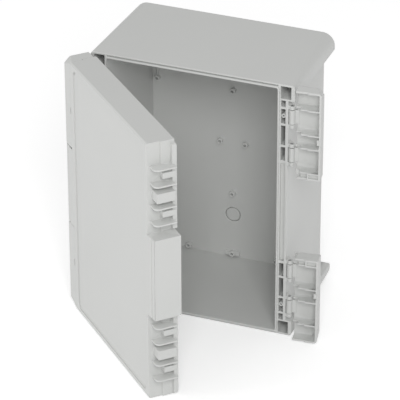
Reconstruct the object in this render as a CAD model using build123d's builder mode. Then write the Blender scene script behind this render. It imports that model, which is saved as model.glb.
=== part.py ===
from build123d import *
import os

# Wall-mounting enclosure, moulded in light grey plastic: a deep base, a tray-shaped lid with a
# sealing gasket, and four snap latches that turn on pins at the sides of the base. The two left
# latches are closed on the lid and serve as its hinge. The two right latches are swung open, and
# the lid stands open on its hinge.
# X runs across, Z up and Y from the room towards the wall. The origin is the centre of the four
# wall screws on the back face. Forward is a distance in front of the rim plane of the base.
# Every piece is drawn closed, then the lid and the latches are turned to their places.

# Overall size
width = 240.0
height = 320.0
base_depth = 137.0
lid_depth = 33.0
rim_corner_radius = 4.0
back_corner_radius = 15.0
back_edge_chamfer = 1.5
front_chamfer = 6.5

# Base walls
rim_side = 19.4
rim_end = 5.0
opening_radius = 2.0
cavity_draft = 1.2
back_wall = 4.0
flare_height = 19.5
end_trim = 0.05
waist_taper = 5.4

# Rim of the base: sealing lip, its relief groove, and the cored sides
lip_width = 2.0
lip_height = 2.1
lip_groove_width = 0.9
lip_groove_depth = 4.0
core_inset = 1.5
core_width = 5.1
core_depth = 26.0
core_rib = 3.0
core_lengths = (7.5, 17.5, 23.7, 16.3)
core_drop = 0.3
rim_channel_depth = 3.0
rim_channel_end_gap = 4.0
rim_boss_hole_radius = 1.2
rim_boss_drop = 1.0

# Wall screws, reached through the corner shafts
screw_inset_x = 10.5
screw_inset_z = 10.0
shaft_width = 12.0
shaft_height = 15.0
shaft_floor = 4.0
screw_hole_radius = 3.0

# Bosses inside the base
boss_radius = 3.6
boss_height = 5.0
boss_hole_radius = 1.6
boss_hole_depth = 4.0
centre_boss_spacing_x = 31.0
centre_boss_spacing_z = 136.0
side_boss_inset = 7.6
wall_boss_spacing_x = 55.0
wall_boss_offset = 6.0
boss_rib_width = 1.8
boss_rib_height = 3.0
knockout_radius = 9.4
knockout_drop = 97.0
knockout_groove_width = 1.0
knockout_groove_depth = 1.2

# Hinge line of the latches
knuckle_radius = 3.5
knuckle_length = 17.0
knuckle_middle = 23.5
knuckle_relief = 0.4
pivot_back = 2.0
pin_radius = 1.6
pin_clearance = 0.05
lug_radius = 3.2
lug_thickness = 4.4
lug_gap = 0.8
lug_gusset = 12.0

# Latches
latch_centre_drop = 62.0
latch_height = 108.4
latch_top_gap = 0.6
latch_wall = 2.4
latch_front_gap = 0.4
latch_side_gap = 0.7
latch_corner_start = 6.0
latch_side_start = 3.5
latch_rib = 2.0
latch_inner_rib = 8.5
latch_end_cell = 4.8
latch_web = 3.0
hook_length = 2.6
hook_height = 7.0
hook_width = 3.2
release_slot_height = 8.0
release_slot_depth = 2.0
latch_edge_radius = 0.8

# Lid
lid_gap = 0.6
lid_floor_gap = 0.5
lid_face_wall = 3.6
lid_side_wall = 3.0
lid_edge_radius = 1.2
field_side = 25.0
field_margin = 8.0
field_recess = 1.2
field_radius = 6.0
bay_gap = 1.0
bay_inset = 17.2
bay_step_inset = 15.7
bay_flange_inset = 9.7
bay_step_forward = 17.0
bay_flange_forward = 9.0
bay_flange_radius = 3.0
bay_flange_gap = 0.8
bay_flange_wall = 2.0
fin_thickness = 2.0
fin_near = 13.5
fin_rib_distance = 5.3
fin_start = 3.2
fin_front_gap = 4.0
fin_cover_gap = 1.2
fin_radius = 6.0
hook_bar_height = 11.6
hook_bar_start = 5.0
hook_bar_front_gap = 6.5
guide_height = 7.0
guide_reach = 8.5
guide_start = 2.5
guide_length = 15.0
block_wall = 2.6
block_strip_width = 7.5
block_strip_depth = 0.8
block_rib_count = 2

# Gasket groove of the lid
gasket_inner_gap = 1.6
gasket_outer_gap = 0.7
gasket_forward = 6.0
gasket_thickness = 3.6
gasket_side_gap = 0.2
gasket_wall = 2.4
gasket_shelf = 2.0
gasket_wall_start = 1.2

# Rest position
lid_open_angle = 44.2
latch_open_angle = 97.5

half_width = width / 2
half_height = height / 2
opening_width = width - 2 * rim_side
opening_height = height - 2 * rim_end
screw_spacing_x = width - 2 * screw_inset_x
screw_spacing_z = height - 2 * screw_inset_z
waist_x = half_width - 2 * knuckle_radius - knuckle_relief
pivot_x = half_width - knuckle_radius
pivot_y = -base_depth + pivot_back
latch_z = half_height - latch_centre_drop
latch_top = half_height - latch_top_gap
latch_bottom = latch_top - latch_height
latch_outer_rib = latch_z - latch_bottom - latch_wall - latch_end_cell - latch_rib / 2
latch_reach = lid_depth - latch_front_gap
lid_height = height - 2 * lid_floor_gap
core_x = opening_width / 2 + lip_width + core_inset
core_outer_x = core_x + core_width


def facing(forward):
    """Return the plane at a distance in front of the rim, with X across and Z up."""
    return Plane.XZ.offset(base_depth + forward)


def corner_rectangle(x, z, size_x, size_z):
    """Draw a rectangle from its lower inner corner in the sketch being made."""
    with Locations((x, z)):
        Rectangle(size_x, size_z, align=(Align.MIN, Align.MIN))


def ring(half_x, half_z, radius, wall):
    """Draw a rounded rectangular ring whose wall lies outside the given half sizes."""
    RectangleRounded(2 * (half_x + wall), 2 * (half_z + wall), radius + wall)
    RectangleRounded(2 * half_x, 2 * half_z, radius, mode=Mode.SUBTRACT)


def four_ways():
    """Repeat the sketch being made in all four quadrants."""
    mirror(about=Plane.YZ)
    mirror(about=Plane.XZ)


def levels(*offsets):
    """Return level planes at offsets from the centre of the upper latches and of the lower ones."""
    upper = [latch_z + offset for offset in offsets]
    return [Plane.XY.offset(z) for z in upper + [-z for z in upper]]


def side_profile(start, reach, bottom, top, cut):
    """Return the corners of a rectangle seen from the side, its front upper corner cut off."""
    back = -base_depth - start
    front = -base_depth - reach
    return [(back, bottom), (back, top), (front + cut, top), (front, top - cut), (front, bottom)]


def inner_cut(cut, wall):
    """Return the corner cut of a hollow that leaves an even wall behind an outer cut."""
    return cut - wall * (2 - 2**0.5)


def core_rows():
    """Return the lower end and the length of each cored pocket beside an upper latch."""
    rows = []
    top = half_height - flare_height - core_drop
    for length in core_lengths:
        rows.append((top - length, length))
        top = top - length - core_rib
    return rows


# Base housing: outer block with full-width flares at the top and bottom and waisted sides. Its
# corners are tight at the rim and widen towards the wall, and its top and bottom are flat.
with BuildPart() as base_housing:
    back_trim = 2 * back_edge_chamfer
    drawn_height = height + 2 * end_trim
    with BuildSketch(Plane.XZ):
        back_radius = back_corner_radius - back_edge_chamfer
        RectangleRounded(width - back_trim, drawn_height - back_trim, back_radius)
    with BuildSketch(Plane.XZ.offset(back_edge_chamfer)):
        RectangleRounded(width, drawn_height, back_corner_radius)
    with BuildSketch(facing(0)):
        RectangleRounded(width, drawn_height, rim_corner_radius)
    loft(ruled=True)
    split(bisect_by=Plane.XY.offset(half_height), keep=Keep.BOTTOM)
    split(bisect_by=Plane.XY.offset(-half_height), keep=Keep.TOP)
    waist_half_height = half_height - flare_height
    with BuildSketch(Plane.XY.offset(-waist_half_height)):
        with BuildLine():
            Polyline(
                (waist_x, -base_depth),
                (half_width, -base_depth),
                (half_width, 0),
                (waist_x - waist_taper, 0),
                close=True,
            )
        make_face()
        mirror(about=Plane.YZ)
    extrude(amount=2 * waist_half_height, mode=Mode.SUBTRACT)

    # Cavity, a little narrower at its floor than at the rim
    with BuildSketch(facing(0)):
        RectangleRounded(opening_width, opening_height, opening_radius)
    with BuildSketch(Plane.XZ.offset(back_wall)):
        RectangleRounded(
            opening_width - 2 * cavity_draft, opening_height - 2 * cavity_draft, opening_radius
        )
    loft(ruled=True, mode=Mode.SUBTRACT)

    # Sealing lip with a relief groove above and below
    with BuildSketch(facing(0)):
        ring(opening_width / 2, opening_height / 2, opening_radius, lip_width)
    extrude(amount=lip_height)
    groove_z = opening_height / 2 + lip_width
    with BuildSketch(facing(0)):
        corner_rectangle(0, groove_z, opening_width / 2, lip_groove_width)
        four_ways()
    extrude(amount=-lip_groove_depth, mode=Mode.SUBTRACT)

    # Cored pockets beside the latches, and a shallow channel between them
    with BuildSketch(facing(0)):
        for start, length in core_rows():
            corner_rectangle(core_x, start, core_width, length)
        four_ways()
    extrude(amount=-core_depth, mode=Mode.SUBTRACT)
    channel_end = core_rows()[-1][0] - rim_channel_end_gap
    with BuildSketch(facing(0)):
        with Locations((core_x + core_width / 2, 0), (-core_x - core_width / 2, 0)):
            Rectangle(core_width, 2 * channel_end)
    extrude(amount=-rim_channel_depth, mode=Mode.SUBTRACT)
    boss_row, boss_row_length = core_rows()[1]
    with BuildSketch(facing(-rim_boss_drop)):
        with Locations((core_x + core_width / 2, boss_row + boss_row_length / 2)):
            Circle(core_width / 2)
            Circle(rim_boss_hole_radius, mode=Mode.SUBTRACT)
        four_ways()
    extrude(amount=-(core_depth - rim_boss_drop))

    # Corner shafts, square at the rim and round below, and the wall screw holes
    with BuildSketch(facing(0)):
        with GridLocations(screw_spacing_x, screw_spacing_z, 2, 2):
            Rectangle(shaft_width, shaft_height)
    extrude(amount=-core_depth, mode=Mode.SUBTRACT)
    with BuildSketch(facing(-core_depth)):
        with GridLocations(screw_spacing_x, screw_spacing_z, 2, 2):
            Circle(shaft_width / 2)
    extrude(amount=-(base_depth - core_depth - shaft_floor), mode=Mode.SUBTRACT)
    with BuildSketch(Plane.XZ):
        with GridLocations(screw_spacing_x, screw_spacing_z, 2, 2):
            Circle(screw_hole_radius)
    extrude(amount=shaft_floor, mode=Mode.SUBTRACT)

    # Lugs that carry the latch pins, each with a gusset down to the side wall
    lug_distance = knuckle_length / 2 + lug_gap + lug_thickness / 2
    outer_lug = knuckle_middle + lug_distance
    inner_lug = knuckle_middle - lug_distance
    with BuildSketch(*levels(inner_lug, outer_lug, -inner_lug, -outer_lug)):
        with BuildLine():
            Polyline(
                (core_outer_x, -base_depth),
                (pivot_x, -base_depth),
                (pivot_x + lug_radius, pivot_y),
                (core_outer_x, pivot_y + lug_gusset),
                close=True,
            )
        make_face()
        with Locations((pivot_x, pivot_y)):
            Circle(lug_radius)
            Circle(pin_radius + pin_clearance, mode=Mode.SUBTRACT)
        mirror(about=Plane.YZ)
    extrude(amount=lug_thickness / 2, both=True)

    # Mounting bosses on the back wall, and bosses along the floor and the ceiling of the cavity
    side_boss_spacing_x = opening_width - 2 * side_boss_inset
    with BuildSketch(Plane.XZ.offset(back_wall)):
        with GridLocations(0, centre_boss_spacing_z, 1, 2):
            Circle(boss_radius)
        with GridLocations(centre_boss_spacing_x, 0, 2, 1):
            Circle(boss_radius)
        with GridLocations(side_boss_spacing_x, centre_boss_spacing_z, 2, 2):
            Circle(boss_radius)
        with GridLocations(wall_boss_spacing_x, opening_height - 2 * wall_boss_offset, 3, 2):
            Circle(boss_radius)
    extrude(amount=boss_height)
    side_rib_length = (opening_height - centre_boss_spacing_z) / 2
    with BuildSketch(Plane.XZ.offset(back_wall)):
        with GridLocations(side_boss_spacing_x, (opening_height + centre_boss_spacing_z) / 2, 2, 2):
            Rectangle(boss_rib_width, side_rib_length)
        with GridLocations(wall_boss_spacing_x, opening_height - wall_boss_offset, 3, 2):
            Rectangle(boss_rib_width, wall_boss_offset)
    extrude(amount=boss_rib_height)
    with BuildSketch(Plane.XZ.offset(back_wall + boss_height)):
        with GridLocations(0, centre_boss_spacing_z, 1, 2):
            Circle(boss_hole_radius)
        with GridLocations(centre_boss_spacing_x, 0, 2, 1):
            Circle(boss_hole_radius)
        with GridLocations(side_boss_spacing_x, centre_boss_spacing_z, 2, 2):
            Circle(boss_hole_radius)
        with GridLocations(wall_boss_spacing_x, opening_height - 2 * wall_boss_offset, 3, 2):
            Circle(boss_hole_radius)
    extrude(amount=-boss_hole_depth, mode=Mode.SUBTRACT)

    # Cable knock-out, marked by a thin groove
    with BuildSketch(Plane.XZ.offset(back_wall)):
        with Locations((0, -knockout_drop)):
            Circle(knockout_radius)
            Circle(knockout_radius - knockout_groove_width, mode=Mode.SUBTRACT)
    extrude(amount=-knockout_groove_depth, mode=Mode.SUBTRACT)


# Latch: a shallow tray that wraps the side of the lid, ribbed inside, with two bored knuckles.
# The right upper latch is drawn, and the other three are its mirror images.
inner_x = half_width - bay_inset + latch_side_gap
step_x = half_width - bay_step_inset + latch_side_gap
flange_x = half_width - bay_flange_inset + latch_side_gap
step_forward = bay_step_forward + latch_side_gap
flange_forward = bay_flange_forward + latch_side_gap
plate_x = half_width - latch_wall

with BuildPart() as latch_right_upper:
    # Outer skin with the corners of the box
    with BuildSketch(Plane.YZ.offset(inner_x)):
        with BuildLine():
            outline = side_profile(latch_corner_start, latch_reach, latch_bottom, latch_top, front_chamfer)
            Polyline(outline, close=True)
        make_face()
    extrude(amount=half_width - inner_x)
    side_edges = latch_right_upper.edges().filter_by(Axis.Y)
    corner_edge = side_edges.sort_by_distance((half_width, -base_depth, latch_top))[0]
    fillet(corner_edge, rim_corner_radius - latch_top_gap)
    front_edges = latch_right_upper.faces().sort_by(Axis.Y)[0].edges().group_by(Axis.X)[1:]
    fillet([edge for group in front_edges for edge in group], latch_edge_radius)

    # Hollow of the tray, open towards the lid and towards the hinge
    cell_bottom = latch_bottom + latch_wall
    with BuildSketch(Plane.YZ.offset(inner_x)):
        hollow_cut = inner_cut(front_chamfer, latch_wall)
        hollow_reach = latch_reach - latch_wall
        hollow_top = latch_top - latch_wall
        with BuildLine():
            outline = side_profile(latch_corner_start, hollow_reach, cell_bottom, hollow_top, hollow_cut)
            Polyline(outline, close=True)
        make_face()
    extrude(amount=plate_x - inner_x, mode=Mode.SUBTRACT)

    # Ribs, stepped like the side of the lid
    rib_offsets = (latch_inner_rib, latch_outer_rib, -latch_inner_rib, -latch_outer_rib)
    with BuildSketch(*[Plane.XY.offset(latch_z + offset) for offset in rib_offsets]):
        with BuildLine():
            Polyline(
                (plate_x, -base_depth - latch_side_start),
                (plate_x, -base_depth - latch_reach + latch_wall),
                (inner_x, -base_depth - latch_reach + latch_wall),
                (inner_x, -base_depth - step_forward),
                (step_x, -base_depth - step_forward),
                (step_x, -base_depth - flange_forward),
                (flange_x, -base_depth - flange_forward),
                (flange_x, -base_depth - latch_side_start),
                close=True,
            )
        make_face()
    extrude(amount=latch_rib / 2, both=True)

    # The plate comes closer to the hinge along the waisted side of the base
    side_top = half_height - flare_height - latch_wall
    with BuildSketch(facing(latch_side_start)):
        corner_rectangle(plate_x, latch_bottom, latch_wall, side_top - latch_bottom)
    extrude(amount=latch_corner_start - latch_side_start)

    # The end walls stand back beside the step of the lid
    with BuildSketch(facing(0)):
        corner_rectangle(0, latch_bottom, step_x, latch_height)
    extrude(amount=step_forward, mode=Mode.SUBTRACT)

    # The narrow cell at the lower end is filled as far as the step, and closed off there
    with BuildSketch(facing(latch_side_start)):
        corner_rectangle(flange_x, cell_bottom, plate_x - flange_x, latch_end_cell)
    extrude(amount=step_forward - latch_side_start)
    with BuildSketch(facing(step_forward)):
        corner_rectangle(inner_x, cell_bottom, plate_x - inner_x, latch_end_cell)
    extrude(amount=latch_rib)

    # Knuckles and the webs that join them to the plate
    with BuildSketch(*[Plane.XY.offset(latch_z + side * knuckle_middle) for side in (1, -1)]):
        with Locations((pivot_x, pivot_y)):
            Circle(knuckle_radius)
        with Locations((half_width, pivot_y)):
            web_length = pivot_back + latch_corner_start
            Rectangle(latch_web, web_length, align=(Align.MAX, Align.MAX))
        with Locations((pivot_x, pivot_y)):
            Circle(pin_radius + pin_clearance, mode=Mode.SUBTRACT)
    extrude(amount=knuckle_length / 2, both=True)

    # Hook inside the front lip, and the release slot in the lip's edge
    with BuildSketch(Plane.XY.offset(latch_z)):
        with Locations((inner_x + release_slot_depth, -base_depth - latch_reach + latch_wall)):
            Rectangle(hook_width, hook_length, align=(Align.MIN, Align.MIN))
    extrude(amount=hook_height / 2, both=True)
    with BuildSketch(facing(latch_reach)):
        with Locations((inner_x, latch_z)):
            Rectangle(2 * release_slot_depth, release_slot_height)
    extrude(amount=-latch_wall, mode=Mode.SUBTRACT)

with BuildPart() as latch_right_lower:
    mirror(latch_right_upper.part, about=Plane.XY)

with BuildPart() as latch_left_upper:
    mirror(latch_right_upper.part, about=Plane.YZ)

with BuildPart() as latch_left_lower:
    mirror(latch_right_lower.part, about=Plane.YZ)


# Lid: a rounded tray with a bay for each latch and a block between the bays on each side
groove_outer = lip_width + gasket_outer_gap
cavity_half_x = half_width - bay_inset - lid_side_wall
cavity_half_z = lid_height / 2 - lid_side_wall

with BuildPart() as lid:
    with BuildSketch(facing(lid_gap)):
        RectangleRounded(width, lid_height, rim_corner_radius)
    extrude(amount=lid_depth - lid_gap)
    with BuildSketch(Plane.YZ):
        with BuildLine():
            Polyline(side_profile(0, lid_depth, 0, lid_height / 2, front_chamfer), close=True)
        make_face()
        mirror(about=Plane.XZ)
    extrude(amount=half_width, both=True, mode=Mode.INTERSECT)
    fillet(lid.faces().sort_by(Axis.Y)[0].edges(), lid_edge_radius)

    # Shallow field on the outer face
    with BuildSketch(facing(lid_depth)):
        RectangleRounded(width - 2 * field_side, lid_height - 2 * field_margin, field_radius)
    extrude(amount=-field_recess, mode=Mode.SUBTRACT)

    # Latch bays: the side wall stands back, and once more towards the outer face
    bay_start = latch_bottom - bay_gap
    bay_x = half_width - bay_inset
    bay_step_x = half_width - bay_step_inset
    for start_x, start_forward in ((bay_step_x, lid_gap), (bay_x, bay_step_forward)):
        with BuildSketch(facing(start_forward)):
            corner_rectangle(start_x, bay_start, half_width - start_x, half_height - bay_start)
            four_ways()
        extrude(amount=lid_depth - start_forward, mode=Mode.SUBTRACT)

    # Flange along each bay, beside the rim
    flange_bottom = latch_bottom + latch_wall + bay_flange_gap
    flange_top = latch_top - latch_wall - bay_flange_gap
    flange_end_x = half_width - bay_flange_inset
    with BuildSketch(facing(lid_gap)) as flange:
        corner_rectangle(bay_step_x, flange_bottom, flange_end_x - bay_step_x, flange_top - flange_bottom)
        fillet(flange.vertices().sort_by_distance((flange_end_x, flange_top))[0], bay_flange_radius)
        four_ways()
    extrude(amount=bay_flange_forward - lid_gap)

    # Fins that stand between the ribs of the latches
    fin_far = latch_outer_rib - fin_rib_distance
    fin_reach = plate_x - fin_cover_gap - bay_x
    fin_root = lid_side_wall / 2
    fin_end = lid_depth - fin_front_gap
    with BuildSketch(*levels(fin_near, -fin_near, fin_far, -fin_far)) as fins:
        with Locations((bay_x - fin_root, -base_depth - fin_start)):
            Rectangle(fin_reach + fin_root, fin_end - fin_start, align=(Align.MIN, Align.MAX))
        fillet(fins.vertices().sort_by_distance((bay_x + fin_reach, -base_depth - fin_end))[0], fin_radius)
        mirror(about=Plane.YZ)
    extrude(amount=fin_thickness / 2, both=True)

    # Hook bar between the inner fins, and a guide block between each pair of fins
    with BuildSketch(*levels(0)):
        with Locations((bay_x - fin_root, -base_depth - hook_bar_start)):
            bar_length = lid_depth - hook_bar_front_gap - hook_bar_start
            Rectangle(fin_reach + fin_root, bar_length, align=(Align.MIN, Align.MAX))
        mirror(about=Plane.YZ)
    extrude(amount=hook_bar_height / 2, both=True)
    guide_offset = (fin_near + fin_far) / 2
    with BuildSketch(*levels(guide_offset, -guide_offset)):
        with Locations((bay_x - fin_root, -base_depth - guide_start)):
            Rectangle(guide_reach + fin_root, guide_length, align=(Align.MIN, Align.MAX))
        mirror(about=Plane.YZ)
    extrude(amount=guide_height / 2, both=True)

    # Hollow, gasket groove and the shelf and wall that hold the gasket
    with BuildSketch(facing(lid_gap)):
        outer = groove_outer
        RectangleRounded(opening_width + 2 * outer, opening_height + 2 * outer, opening_radius + outer)
    extrude(amount=gasket_forward - lid_gap, mode=Mode.SUBTRACT)
    with BuildSketch(Plane.YZ):
        cavity_cut = inner_cut(front_chamfer, lid_side_wall)
        cavity_reach = lid_depth - lid_face_wall
        with BuildLine():
            outline = side_profile(gasket_forward, cavity_reach, 0, cavity_half_z, cavity_cut)
            Polyline(outline, close=True)
        make_face()
        mirror(about=Plane.XZ)
    extrude(amount=cavity_half_x, both=True, mode=Mode.SUBTRACT)
    shelf_inner_x = opening_width / 2 - gasket_inner_gap - gasket_wall
    shelf_inner_z = opening_height / 2 - gasket_inner_gap - gasket_wall
    with BuildSketch(facing(gasket_forward)):
        Rectangle(2 * cavity_half_x, 2 * cavity_half_z)
        RectangleRounded(2 * shelf_inner_x, 2 * shelf_inner_z, opening_radius, mode=Mode.SUBTRACT)
    extrude(amount=gasket_shelf)
    with BuildSketch(facing(gasket_wall_start)):
        ring(shelf_inner_x, shelf_inner_z, opening_radius, gasket_wall)
    extrude(amount=gasket_forward - gasket_wall_start)

    # The flange of each bay is cored like the rim of the base
    flange_core_x = opening_width / 2 + groove_outer + bay_flange_wall
    flange_core_width = flange_end_x - bay_flange_wall - flange_core_x
    with BuildSketch(facing(lid_gap)):
        for start, length in core_rows():
            corner_rectangle(flange_core_x, start, flange_core_width, length)
        four_ways()
    extrude(amount=gasket_forward - lid_gap, mode=Mode.SUBTRACT)

    # The block between the bays is hollow towards the base
    block_x = opening_width / 2 + groove_outer + block_wall
    cell_height = (2 * bay_start - (block_rib_count + 2) * block_wall) / (block_rib_count + 1)
    block_centre_x = (block_x + half_width - block_wall) / 2
    with BuildSketch(facing(lid_gap)):
        with GridLocations(2 * block_centre_x, cell_height + block_wall, 2, block_rib_count + 1):
            Rectangle(half_width - block_wall - block_x, cell_height)
    extrude(amount=lid_depth - lid_face_wall - lid_gap, mode=Mode.SUBTRACT)
    with BuildSketch(facing(lid_depth)):
        with GridLocations(width - block_strip_width, 0, 2, 1):
            Rectangle(block_strip_width, 2 * bay_start)
    extrude(amount=-block_strip_depth, mode=Mode.SUBTRACT)


# Gasket, a square cord of soft foam in the groove of the lid
with BuildPart() as lid_gasket:
    with BuildSketch(facing(gasket_forward - gasket_thickness)):
        gasket_gap = gasket_inner_gap - gasket_side_gap
        gasket_width = gasket_inner_gap + groove_outer - 2 * gasket_side_gap
        inner_x_half = opening_width / 2 - gasket_gap
        inner_z_half = opening_height / 2 - gasket_gap
        ring(inner_x_half, inner_z_half, opening_radius, gasket_width)
    extrude(amount=gasket_thickness)


# Latch pins, one through each knuckle and its two lugs
pin_overhang = lug_gap + lug_thickness
pins = {}
for side, sign_x in (("right", 1), ("left", -1)):
    for level, sign_z in (("upper", 1), ("lower", -1)):
        for place, offset in (("outer", knuckle_middle), ("inner", -knuckle_middle)):
            centre_z = sign_z * (latch_z + offset)
            with BuildPart() as pin:
                with Locations((sign_x * pivot_x, pivot_y, centre_z)):
                    Cylinder(pin_radius, knuckle_length + 2 * pin_overhang)
            pins[f"latch_pin_{side}_{level}_{place}"] = pin


# Rest position: the lid and the left latches turn on the left hinge, the right latches on the right
left_hinge = Axis((-pivot_x, pivot_y, 0), (0, 0, 1))
right_hinge = Axis((pivot_x, pivot_y, 0), (0, 0, 1))
for builder in (lid, lid_gasket, latch_left_upper, latch_left_lower):
    builder.part = builder.part.rotate(left_hinge, -lid_open_angle)
for builder in (latch_right_upper, latch_right_lower):
    builder.part = builder.part.rotate(right_hinge, latch_open_angle)

pieces = {
    "base_housing": base_housing,
    "lid": lid,
    "lid_gasket": lid_gasket,
    "latch_right_upper": latch_right_upper,
    "latch_right_lower": latch_right_lower,
    "latch_left_upper": latch_left_upper,
    "latch_left_lower": latch_left_lower,
    **pins,
}
os.makedirs("parts", exist_ok=True)
for name, builder in pieces.items():
    builder.part.label = name
    export_step(builder.part, f"parts/{name}.step")
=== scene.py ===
import logging
import math
from dataclasses import dataclass, field
from enum import Enum

import bmesh
import bpy
from mathutils import Matrix, Vector


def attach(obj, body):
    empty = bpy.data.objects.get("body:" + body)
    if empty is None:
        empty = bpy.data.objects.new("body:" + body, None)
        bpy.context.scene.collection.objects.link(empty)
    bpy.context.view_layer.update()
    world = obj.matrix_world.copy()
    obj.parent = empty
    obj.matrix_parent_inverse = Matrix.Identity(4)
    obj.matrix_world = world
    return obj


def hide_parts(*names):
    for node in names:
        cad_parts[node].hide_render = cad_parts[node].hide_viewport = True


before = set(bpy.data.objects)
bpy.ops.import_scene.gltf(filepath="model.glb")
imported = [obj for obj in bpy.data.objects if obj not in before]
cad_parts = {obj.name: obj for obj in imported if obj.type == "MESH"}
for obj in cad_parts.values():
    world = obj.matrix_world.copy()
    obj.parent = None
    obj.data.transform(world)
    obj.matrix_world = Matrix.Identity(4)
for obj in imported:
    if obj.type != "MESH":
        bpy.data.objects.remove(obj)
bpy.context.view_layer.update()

log = logging.getLogger("enclosure")
MM = 0.001
NEAR = 0.1  # millimetres within which a corner counts as lying at a place


# Colour and node helpers


def linear(hex_colour: str) -> tuple[float, float, float, float]:
    """Turn an sRGB hex colour into the linear colour that a shader socket takes.

    Args:
        hex_colour: Colour written as "#RRGGBB".

    Returns:
        Linear red, green, blue and an alpha of 1.
    """
    channels = [int(hex_colour[i:i + 2], 16) / 255 for i in (1, 3, 5)]
    curve = [c / 12.92 if c <= 0.04045 else ((c + 0.055) / 1.055) ** 2.4 for c in channels]
    return (*curve, 1.0)


def add_node(
    tree: bpy.types.NodeTree,
    kind: str,
    settings: dict[str, str] | None = None,
    inputs: dict[str | int, object] | None = None,
    links: dict[str | int, bpy.types.NodeSocket] | None = None,
) -> bpy.types.Node:
    """Add one node with its settings, its fixed socket values and the links that feed it.

    Args:
        tree: Node tree that gets the node.
        kind: Blender's type name of the node.
        settings: Attributes of the node, by name.
        inputs: Fixed values, by the name or number of the input socket.
        links: Output sockets that feed the node, by the name or number of its input socket.

    Returns:
        The new node.
    """
    node = tree.nodes.new(kind)
    for name, value in (settings or {}).items():
        setattr(node, name, value)
    for name, value in (inputs or {}).items():
        node.inputs[name].default_value = value
    for name, socket in (links or {}).items():
        tree.links.new(socket, node.inputs[name])
    return node


# Finishes


@dataclass(frozen=True)
class MouldedPlastic:
    """Light grey ABS, injection moulded in a spark-eroded tool.

    The surface is satin: a fine even grain breaks up the reflections, the flow of the melt leaves
    the tone very slightly cloudy, and the gloss varies a little from place to place.
    """

    name: str = "moulded_abs_light_grey"
    colour: str = "#CDCECC"
    cloud_colour: str = "#CACBC9"
    roughness: float = 0.42
    roughness_spread: float = 0.08
    ior: float = 1.53
    grain_mm: float = 1.1  # the real grain is about 0.2 mm, drawn coarser so that it shows
    grain_depth_mm: float = 0.012
    cloud_mm: float = 60.0

    def material(self) -> bpy.types.Material:
        """Build the material's nodes.

        Returns:
            The finished material.
        """
        mat = bpy.data.materials.new(self.name)
        mat.use_nodes = True
        tree = mat.node_tree
        shader = tree.nodes["Principled BSDF"]
        shader.inputs["IOR"].default_value = self.ior
        place = add_node(tree, "ShaderNodeTexCoord")
        clouds = add_node(tree, "ShaderNodeTexNoise",
                          inputs={"Scale": 1 / (self.cloud_mm * MM), "Detail": 3.0,
                                  "Roughness": 0.45},
                          links={"Vector": place.outputs["Object"]})
        tone = add_node(tree, "ShaderNodeMix", settings={"data_type": "RGBA"},
                        links={0: clouds.outputs["Fac"]})
        tone.inputs[6].default_value = linear(self.colour)
        tone.inputs[7].default_value = linear(self.cloud_colour)
        tree.links.new(tone.outputs[2], shader.inputs["Base Color"])
        grain = add_node(tree, "ShaderNodeTexNoise",
                         inputs={"Scale": 1 / (self.grain_mm * MM), "Detail": 2.0,
                                 "Roughness": 0.6},
                         links={"Vector": place.outputs["Object"]})
        gloss = add_node(tree, "ShaderNodeMapRange",
                         inputs={"To Min": self.roughness - self.roughness_spread,
                                 "To Max": self.roughness + self.roughness_spread},
                         links={"Value": grain.outputs["Fac"]})
        tree.links.new(gloss.outputs["Result"], shader.inputs["Roughness"])
        bump = add_node(tree, "ShaderNodeBump",
                        inputs={"Strength": 0.5, "Distance": self.grain_depth_mm * MM},
                        links={"Height": grain.outputs["Fac"]})
        tree.links.new(bump.outputs["Normal"], shader.inputs["Normal"])
        return mat


@dataclass(frozen=True)
class FoamSeal:
    """Dark grey closed-cell rubber foam, laid as a cord: matt, with fine cells in its skin."""

    name: str = "foamed_rubber_dark_grey"
    colour: str = "#4A4B4D"
    cell_colour: str = "#3A3B3D"
    roughness: float = 0.88
    ior: float = 1.45
    cell_mm: float = 0.9
    cell_depth_mm: float = 0.05

    def material(self) -> bpy.types.Material:
        """Build the material's nodes.

        Returns:
            The finished material.
        """
        mat = bpy.data.materials.new(self.name)
        mat.use_nodes = True
        tree = mat.node_tree
        shader = tree.nodes["Principled BSDF"]
        shader.inputs["IOR"].default_value = self.ior
        shader.inputs["Roughness"].default_value = self.roughness
        place = add_node(tree, "ShaderNodeTexCoord")
        cells = add_node(tree, "ShaderNodeTexVoronoi",
                         inputs={"Scale": 1 / (self.cell_mm * MM)},
                         links={"Vector": place.outputs["Object"]})
        tone = add_node(tree, "ShaderNodeMix", settings={"data_type": "RGBA"},
                        links={0: cells.outputs["Distance"]})
        tone.inputs[6].default_value = linear(self.cell_colour)
        tone.inputs[7].default_value = linear(self.colour)
        tree.links.new(tone.outputs[2], shader.inputs["Base Color"])
        bump = add_node(tree, "ShaderNodeBump",
                        inputs={"Strength": 0.6, "Distance": self.cell_depth_mm * MM},
                        links={"Height": cells.outputs["Distance"]})
        tree.links.new(bump.outputs["Normal"], shader.inputs["Normal"])
        return mat


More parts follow.
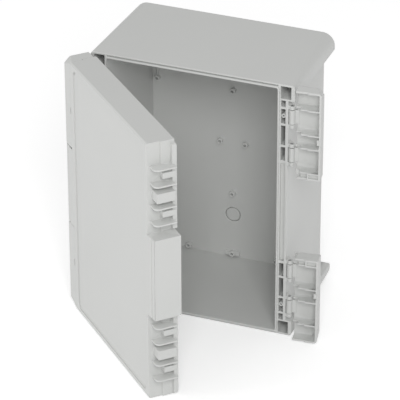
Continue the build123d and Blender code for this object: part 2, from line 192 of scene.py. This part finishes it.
@dataclass(frozen=True)
class DrawnSteel:
    """Stainless steel pin, cold drawn: fine lines along its length and a soft metallic gloss."""

    name: str = "drawn_stainless_steel"
    colour: str = "#B9B9BA"
    least_roughness: float = 0.2
    most_roughness: float = 0.4
    line_mm: float = 0.35
    line_stretch: float = 50.0

    def material(self) -> bpy.types.Material:
        """Build the material's nodes.

        Returns:
            The finished material.
        """
        mat = bpy.data.materials.new(self.name)
        mat.use_nodes = True
        tree = mat.node_tree
        shader = tree.nodes["Principled BSDF"]
        shader.inputs["Metallic"].default_value = 1.0
        shader.inputs["Base Color"].default_value = linear(self.colour)
        place = add_node(tree, "ShaderNodeTexCoord")
        stretch = add_node(tree, "ShaderNodeMapping",
                           inputs={"Scale": (1.0, 1.0, 1 / self.line_stretch)},
                           links={"Vector": place.outputs["Object"]})
        lines = add_node(tree, "ShaderNodeTexNoise",
                         inputs={"Scale": 1 / (self.line_mm * MM), "Detail": 2.0},
                         links={"Vector": stretch.outputs["Vector"]})
        gloss = add_node(tree, "ShaderNodeMapRange",
                         inputs={"To Min": self.least_roughness, "To Max": self.most_roughness},
                         links={"Value": lines.outputs["Fac"]})
        tree.links.new(gloss.outputs["Result"], shader.inputs["Roughness"])
        return mat


@dataclass(frozen=True)
class StudioPaper:
    """White seamless paper, uncoated: white to the camera, with the object's soft shadow on it."""

    name: str = "seamless_paper_white"
    colour: str = "#F4F4F4"
    lift: float = 0.34
    roughness: float = 0.95

    def material(self) -> bpy.types.Material:
        """Build the material's nodes.

        Returns:
            The finished material.
        """
        mat = bpy.data.materials.new(self.name)
        mat.use_nodes = True
        tree = mat.node_tree
        shader = tree.nodes["Principled BSDF"]
        shader.inputs["Base Color"].default_value = linear(self.colour)
        shader.inputs["Roughness"].default_value = self.roughness
        shader.inputs["Specular IOR Level"].default_value = 0.0
        glow = add_node(tree, "ShaderNodeEmission",
                        inputs={"Color": linear("#FFFFFF"), "Strength": self.lift})
        both = add_node(tree, "ShaderNodeAddShader",
                        links={0: shader.outputs["BSDF"], 1: glow.outputs["Emission"]})
        path = add_node(tree, "ShaderNodeLightPath")
        seen = add_node(tree, "ShaderNodeMath", settings={"operation": "MAXIMUM"},
                        links={0: path.outputs["Is Camera Ray"],
                               1: path.outputs["Is Glossy Ray"]})
        pick = add_node(tree, "ShaderNodeMixShader",
                        links={0: seen.outputs["Value"], 1: shader.outputs["BSDF"],
                               2: both.outputs["Shader"]})
        surface = tree.nodes["Material Output"].inputs["Surface"]
        tree.links.new(pick.outputs["Shader"], surface)
        return mat


# Mouldings


class Side(Enum):
    """The two sides that carry latches, as the sign of X."""

    LEFT = -1
    RIGHT = 1


class Level(Enum):
    """The two heights at which latches sit, as the sign of Z."""

    UPPER = 1
    LOWER = -1


@dataclass
class Moulding:
    """A moulded part of the frame, given the small edge radii that a moulding tool leaves.

    The part is worked on closed and in millimetres, and then goes back to where it stands at rest.
    """

    finish: bpy.types.Material
    node: str
    body: str
    open_deg: float = 0.0
    hinge_side: Side = Side.LEFT
    hinge_x: float = 116.5
    hinge_y: float = -135.0
    rim_y: float = -137.0
    material_slot: str = "housing"
    edge_radius: float = 0.4
    sharp_from_deg: float = 34.0
    segments: int = 2
    merge: float = 0.002

    def closed_turn(self) -> Matrix:
        """Work out the matrix that takes the part from its rest place to closed, in millimetres.

        Returns:
            The matrix.
        """
        hinge = Vector((self.hinge_side.value * self.hinge_x, self.hinge_y, 0))
        turn = Matrix.Rotation(math.radians(-self.open_deg), 4, "Z")
        shift = Matrix.Translation(hinge)
        return shift @ turn @ shift.inverted() @ Matrix.Scale(1 / MM, 4)

    def forward(self, place: Vector) -> float:
        """Return how far a place lies in front of the rim of the base."""
        return self.rim_y - place.y

    def shape(self, bm: bmesh.types.BMesh) -> None:
        """Give the part the forms that its solid leaves out. A plain part has none."""

    def sharp_edges(self, bm: bmesh.types.BMesh) -> list[bmesh.types.BMEdge]:
        """Return the edges at which two faces meet at a marked angle."""
        limit = math.radians(self.sharp_from_deg)
        return [e for e in bm.edges if len(e.link_faces) == 2 and e.calc_face_angle() > limit]

    def mark_edges(self, bm: bmesh.types.BMesh) -> None:
        """Mark the outer edges for rounding and keep the inner ones sharp.

        Args:
            bm: Mesh of the closed part, in millimetres.
        """
        weight = bm.edges.layers.float.new("bevel_weight_edge")
        for edge in self.sharp_edges(bm):
            if edge.is_convex:
                edge[weight] = 1.0
            else:
                edge.smooth = False

    def moulded_mesh(self) -> bpy.types.Mesh:
        """Copy the node's mesh, shape the copy closed and mark its edges.

        Returns:
            The new mesh, where the node stands at rest.
        """
        bm = bmesh.new()
        bm.from_mesh(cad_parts[self.node].data)
        to_closed = self.closed_turn()
        bmesh.ops.transform(bm, matrix=to_closed, verts=bm.verts)
        bmesh.ops.remove_doubles(bm, verts=bm.verts, dist=self.merge)
        self.shape(bm)
        self.mark_edges(bm)
        bmesh.ops.transform(bm, matrix=to_closed.inverted(), verts=bm.verts)
        for face in bm.faces:
            face.smooth = True
        mesh = bpy.data.meshes.new(f"{self.node}_moulded")
        bm.to_mesh(mesh)
        bm.free()
        mesh.materials.append(self.finish)
        return mesh

    def build(self) -> bpy.types.Object:
        """Put the moulded piece in the node's place, with its edges rounded.

        Returns:
            The finished piece.
        """
        piece = bpy.data.objects.new(f"{self.node}_moulded", self.moulded_mesh())
        bpy.context.scene.collection.objects.link(piece)
        rounded = piece.modifiers.new("rounded_edges", "BEVEL")
        rounded.limit_method = "WEIGHT"
        rounded.width = self.edge_radius * MM
        rounded.segments = self.segments
        rounded.use_clamp_overlap = False
        rounded.loop_slide = False
        even = piece.modifiers.new("even_normals", "WEIGHTED_NORMAL")
        even.weight = 100
        even.keep_sharp = True
        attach(piece, self.body)
        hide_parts(self.node)
        log.info("moulded %s in %s", self.node, self.finish.name)
        return piece


@dataclass
class BaseHousing(Moulding):
    """The deep base: a deeper line round its cable knock-out, and wings on its middle bosses."""

    node: str = "base_housing"
    body: str = "base"
    edge_radius: float = 0.5
    knockout_z: float = -97.0
    knockout_radius: float = 9.4
    knockout_line: float = 1.0
    line_floor_y: float = -2.8
    line_new_floor_y: float = -1.3
    wing_x: float = 5.8
    wing_y: float = -5.0
    wing_z: float = 149.0
    wing_size: tuple[float, float, float] = (6.4, 3.0, 6.0)

    def shape(self, bm: bmesh.types.BMesh) -> None:
        """Sink the knock-out's line and set the wings."""
        self.sink_knockout_line(bm)
        self.add_wings(bm)

    def sink_knockout_line(self, bm: bmesh.types.BMesh) -> None:
        """Sink the floor of the line round the knock-out.

        Args:
            bm: Mesh of the base, in millimetres.
        """
        inner_radius = self.knockout_radius - self.knockout_line
        for vert in bm.verts:
            reach = math.hypot(vert.co.x, vert.co.z - self.knockout_z)
            on_line = inner_radius - NEAR < reach < self.knockout_radius + NEAR
            if on_line and abs(vert.co.y - self.line_floor_y) < NEAR:
                vert.co.y = self.line_new_floor_y

    def add_wings(self, bm: bmesh.types.BMesh) -> None:
        """Set a short wing on each side of the middle bosses, rooted in the back wall.

        Args:
            bm: Mesh of the base, in millimetres.
        """
        size = Matrix.Diagonal((*self.wing_size, 1.0))
        for side in Side:
            for level in Level:
                place = (side.value * self.wing_x, self.wing_y, level.value * self.wing_z)
                bmesh.ops.create_cube(bm, size=1.0, matrix=Matrix.Translation(place) @ size)


@dataclass
class Lid(Moulding):
    """The lid: small cuts along its upper and lower front edges, and a field with side lines."""

    node: str = "lid"
    body: str = "lid"
    open_deg: float = -44.2
    depth: float = 33.0
    half_height: float = 159.5
    drawn_cut: float = 6.5
    cut: float = 1.8
    cut_edge_spread: float = 0.6
    cut_edge_depth: float = 0.8
    field_half_width: float = 95.0
    field_half_height: float = 151.5
    field_corner: float = 6.0
    field_recess: float = 1.2
    field_rise: float = 1.9
    line_width: float = 1.5
    line_depth: float = 1.9
    line_wall: float = 0.06
    line_fade_margin: float = 1.0
    flange_x: float = 104.2
    flange_levels: tuple[float, float] = (9.0, 6.0)
    flange_drop: float = 3.0

    def shape(self, bm: bmesh.types.BMesh) -> None:
        """Lessen the front cuts, lengthen the field, lower the flanges and sink the side lines.

        Args:
            bm: Mesh of the closed lid, in millimetres.
        """
        change = self.drawn_cut - self.cut
        plane = self.depth - self.drawn_cut + self.half_height
        field_top = self.field_half_height - self.field_corner - NEAR
        for vert in bm.verts:
            across, ahead, height = abs(vert.co.x), self.forward(vert.co), abs(vert.co.z)
            sign = math.copysign(1.0, vert.co.z)
            off_cut = abs(ahead + height - plane)
            on_front = ahead > self.depth - self.field_recess - NEAR
            on_field = on_front and across < self.field_half_width + NEAR
            if off_cut < self.cut_edge_spread and ahead > self.depth - self.cut_edge_depth:
                vert.co.z += sign * change
            elif off_cut < NEAR and height > self.half_height - NEAR:
                vert.co.y -= change
            elif on_field and height > field_top:
                vert.co.z += sign * self.field_rise
            elif across > self.flange_x and self.on_flange(ahead):
                vert.co.y += self.flange_drop
        self.sink_side_lines(bm)

    def on_flange(self, ahead: float) -> bool:
        """Tell whether a distance from the rim is that of the flange or of its pockets' floor."""
        return any(abs(ahead - level) < NEAR for level in self.flange_levels)

    def sink_side_lines(self, bm: bmesh.types.BMesh) -> None:
        """Cut a narrow line down each side of the field, fading out round its corners.

        Args:
            bm: Mesh of the closed lid, in millimetres.
        """
        floor = self.depth - self.field_recess
        reach = self.field_half_width + NEAR

        def on_floor(vert: bmesh.types.BMVert) -> bool:
            """Tell whether a corner lies on the floor of the field."""
            return abs(self.forward(vert.co) - floor) < NEAR and abs(vert.co.x) < reach

        region = [f for f in bm.faces if all(on_floor(v) for v in f.verts)]

        def outline() -> set[bmesh.types.BMVert]:
            """Return the corners round the edge of the region."""
            edges = {e for f in region for e in f.edges}
            return {v for e in edges if any(f not in region for f in e.link_faces) for v in e.verts}

        rim = outline()
        inset = self.line_width - self.line_wall
        bmesh.ops.inset_region(bm, faces=region, thickness=inset, use_even_offset=True)
        foot = outline()
        bmesh.ops.inset_region(bm, faces=region, thickness=self.line_wall, use_even_offset=True)
        fade_start = self.field_half_width - self.field_corner + self.line_fade_margin
        fade_length = self.field_corner - self.line_width - 2 * self.line_fade_margin
        for vert in rim | foot:
            share = (abs(vert.co.x) - fade_start) / fade_length
            vert.co.y += self.line_depth * min(max(share, 0.0), 1.0)


@dataclass
class Latch(Moulding):
    """One latch: a cut at its outer front corner that fades out inwards, and a narrow end cell."""

    level: Level = Level.UPPER
    right_open_deg: float = 97.5
    inner_x: float = 103.5
    outer_x: float = 120.0
    reach: float = 32.6
    top: float = 159.4
    bottom: float = 51.0
    wall: float = 2.4
    drawn_cut: float = 6.5
    inner_cut: float = 2.0
    outer_cut: float = 8.0
    cut_spread: float = 0.45
    cut_edge_depth: float = 0.6
    flare_height: float = 22.0
    flare_edge: float = 6.0
    new_flare_edge: float = 3.9
    cell_height: float = 4.8
    cell_start: float = 19.7
    cell_floor_x: float = 106.2
    block_x: float = 111.0
    block_start: float = 9.9
    block_new_x: float = 107.6

    @classmethod
    def at(cls, side: Side, level: Level, finish: bpy.types.Material) -> "Latch":
        """Set up one latch, which stands open on the right and closed on the lid on the left.

        Args:
            side: Side of the box.
            level: Height on that side.
            finish: Material of the latch.

        Returns:
            The latch.
        """
        name = f"latch_{side.name.lower()}_{level.name.lower()}"
        open_deg = cls.right_open_deg if side is Side.RIGHT else Lid.open_deg
        return cls(finish, name, name, open_deg=open_deg, hinge_side=side, level=level)

    def pin_nodes(self) -> list[str]:
        """Return the names of the two pins that the latch turns on."""
        return [self.node.replace("latch", "latch_pin") + place for place in ("_outer", "_inner")]

    def shape(self, bm: bmesh.types.BMesh) -> None:
        """Turn the even front cut into a corner cut, and shape the end cell and the flare's edge.

        Args:
            bm: Mesh of the closed latch, in millimetres.
        """
        sx, sz = self.hinge_side.value, self.level.value
        hollow_reach, hollow_top = self.reach - self.wall, self.top - self.wall
        hollow_cut = self.drawn_cut - self.wall * (2 - math.sqrt(2))  # keeps the wall's thickness
        cuts = (
            (self.reach - self.drawn_cut + self.top, self.reach),
            (hollow_reach - hollow_cut + hollow_top, hollow_reach),
        )
        cell_mouth_x = self.outer_x - self.wall
        for vert in bm.verts:
            across, ahead, height = sx * vert.co.x, self.forward(vert.co), sz * vert.co.z
            share = (across - self.inner_x) / (self.outer_x - self.inner_x)
            cut = self.inner_cut + share * (self.outer_cut - self.inner_cut)
            for plane, front in cuts:
                if abs(ahead + height - plane) < self.cut_spread:
                    if ahead > front - self.cut_edge_depth:
                        vert.co.z += sz * (self.drawn_cut - cut)
                    else:
                        vert.co.y -= self.drawn_cut - cut
            if abs(ahead - self.flare_edge) < NEAR and height > self.top - self.flare_height:
                vert.co.y = self.rim_y - self.new_flare_edge
            in_cell = self.in_cell(height) and ahead > self.cell_start - NEAR
            if in_cell and abs(across - cell_mouth_x) < NEAR:
                vert.co.x = sx * self.cell_floor_x
        self.raise_block(bm)

    def in_cell(self, height: float) -> bool:
        """Tell whether a height lies within the narrow cell at the latch's inner end."""
        cell_bottom = self.bottom + self.wall
        return cell_bottom - NEAR < height < cell_bottom + self.cell_height + NEAR

    def raise_block(self, bm: bmesh.types.BMesh) -> None:
        """Raise the block in the end cell to a second step, clear of the lid's flange.

        Args:
            bm: Mesh of the closed latch, in millimetres.
        """
        sx, sz = self.hinge_side.value, self.level.value

        def on_block(face: bmesh.types.BMFace) -> bool:
            """Tell whether a face lies on the inner side of the block."""
            flat = all(abs(sx * v.co.x - self.block_x) < NEAR for v in face.verts)
            return flat and all(self.in_cell(sz * v.co.z) for v in face.verts)

        block = [f for f in bm.faces if on_block(f)]
        around = dict.fromkeys(part for f in block for part in (f, *f.edges, *f.verts))
        step = (0, self.rim_y - self.block_start, 0)
        bmesh.ops.bisect_plane(bm, geom=list(around), plane_co=step, plane_no=(0, 1, 0))
        blocks = [f for f in bm.faces if on_block(f)]
        upper = [f for f in blocks if self.forward(f.calc_center_median()) > self.block_start]
        grown = bmesh.ops.extrude_face_region(bm, geom=upper)["geom"]
        bmesh.ops.delete(bm, geom=upper, context="FACES_ONLY")
        for vert in (part for part in grown if isinstance(part, bmesh.types.BMVert)):
            vert.co.x = sx * self.block_new_x


@dataclass
class DressedNode:
    """A piece that keeps the form of its solid and gets its finish."""

    node: str
    finish: bpy.types.Material

    def build(self) -> bpy.types.Object:
        """Put the finish on the node.

        Returns:
            The node's object.
        """
        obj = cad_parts[self.node]
        obj.data.materials.clear()
        obj.data.materials.append(self.finish)
        log.info("dressed %s with %s", self.node, self.finish.name)
        return obj


# Studio


@dataclass
class SoftBox:
    """One large square studio lamp that points at the object."""

    name: str
    place: tuple[float, float, float]
    size: float
    watts: float

    def build(self, target: Vector) -> bpy.types.Object:
        """Hang the lamp and turn it to the target.

        Args:
            target: Point that the lamp faces, in metres.

        Returns:
            The lamp.
        """
        lamp = bpy.data.lights.new(self.name, "AREA")
        lamp.shape = "SQUARE"
        lamp.size = self.size
        lamp.energy = self.watts
        obj = bpy.data.objects.new(self.name, lamp)
        bpy.context.scene.collection.objects.link(obj)
        obj.location = self.place
        obj.rotation_euler = (target - Vector(self.place)).to_track_quat("-Z", "Y").to_euler()
        return obj


@dataclass
class Studio:
    """Seamless white paper, two soft boxes, an even sky and the camera of the photograph."""

    paper: bpy.types.Material
    floor_z: float = -0.1602
    floor_size: float = 30.0
    sky_strength: float = 0.54
    aim: tuple[float, float, float] = (-0.05, -0.1, 0.0)
    camera_place: tuple[float, float, float] = (1.03237, -2.80584, 1.64386)
    yaw_deg: float = -20.942
    pitch_deg: float = -30.044
    roll_deg: float = -0.113
    lens: float = 264.94
    sensor: float = 36.0
    shift_x: float = -0.00315
    shift_y: float = 0.01015
    lamps: list[SoftBox] = field(default_factory=lambda: [
        SoftBox("front_lamp", (1.3, -2.9, 2.2), 1.4, 61.0),
        SoftBox("side_lamp", (-2.6, -1.6, 1.0), 1.6, 17.0),
    ])

    def build(self) -> None:
        """Set up the floor, the lamps, the sky and the camera."""
        bm = bmesh.new()
        bmesh.ops.create_grid(bm, x_segments=1, y_segments=1, size=self.floor_size / 2)
        bmesh.ops.translate(bm, verts=bm.verts, vec=(0, 0, self.floor_z))
        mesh = bpy.data.meshes.new("paper_floor")
        bm.to_mesh(mesh)
        bm.free()
        mesh.materials.append(self.paper)
        floor = bpy.data.objects.new("paper_floor", mesh)
        bpy.context.scene.collection.objects.link(floor)
        for lamp in self.lamps:
            lamp.build(Vector(self.aim))
        self.sky()
        self.camera()
        bpy.context.scene.view_settings.view_transform = "Standard"

    def sky(self) -> None:
        """Make the world an even pale grey light that the camera sees as white."""
        world = bpy.data.worlds.new("studio_sky")
        bpy.context.scene.world = world
        world.use_nodes = True
        tree = world.node_tree
        back = tree.nodes["Background"]
        back.inputs["Color"].default_value = linear("#FFFFFF")
        back.inputs["Strength"].default_value = self.sky_strength
        white = add_node(tree, "ShaderNodeBackground",
                         inputs={"Color": linear("#FFFFFF"), "Strength": 1.0})
        path = add_node(tree, "ShaderNodeLightPath")
        pick = add_node(tree, "ShaderNodeMixShader",
                        links={0: path.outputs["Is Camera Ray"], 1: back.outputs["Background"],
                               2: white.outputs["Background"]})
        surface = tree.nodes["World Output"].inputs["Surface"]
        tree.links.new(pick.outputs["Shader"], surface)

    def camera(self) -> None:
        """Set up the camera at the viewing angle that was fitted to the edges of the box."""
        yaw, pitch, roll = (math.radians(a) for a in (self.yaw_deg, self.pitch_deg, self.roll_deg))
        flat = math.cos(pitch)
        ahead = Vector((math.sin(yaw) * flat, math.cos(yaw) * flat, math.sin(pitch)))
        level = Vector((math.cos(yaw), -math.sin(yaw), 0))
        above = level.cross(ahead)
        right = level * math.cos(roll) + above * math.sin(roll)
        up = above * math.cos(roll) - level * math.sin(roll)
        data = bpy.data.cameras.new("photo_camera")
        data.sensor_fit = "HORIZONTAL"
        data.sensor_width = self.sensor
        data.lens = self.lens
        data.shift_x = self.shift_x
        data.shift_y = self.shift_y
        data.clip_end = 100.0
        camera = bpy.data.objects.new("photo_camera", data)
        bpy.context.scene.collection.objects.link(camera)
        turn = Matrix((right, up, -ahead)).transposed().to_4x4()
        camera.matrix_world = Matrix.Translation(self.camera_place) @ turn
        bpy.context.scene.camera = camera


def main() -> None:
    """Build the sub-assemblies one by one, then the studio."""
    plastic = MouldedPlastic().material()
    foam = FoamSeal().material()
    steel = DrawnSteel().material()
    BaseHousing(finish=plastic).build()
    Lid(finish=plastic).build()
    DressedNode("lid_gasket", foam).build()
    for side in Side:
        for level in Level:
            latch = Latch.at(side, level, plastic)
            latch.build()
            for pin in latch.pin_nodes():
                DressedNode(pin, steel).build()
    Studio(StudioPaper().material()).build()


if __name__ == "__main__":
    logging.basicConfig(level=logging.INFO)
    main()
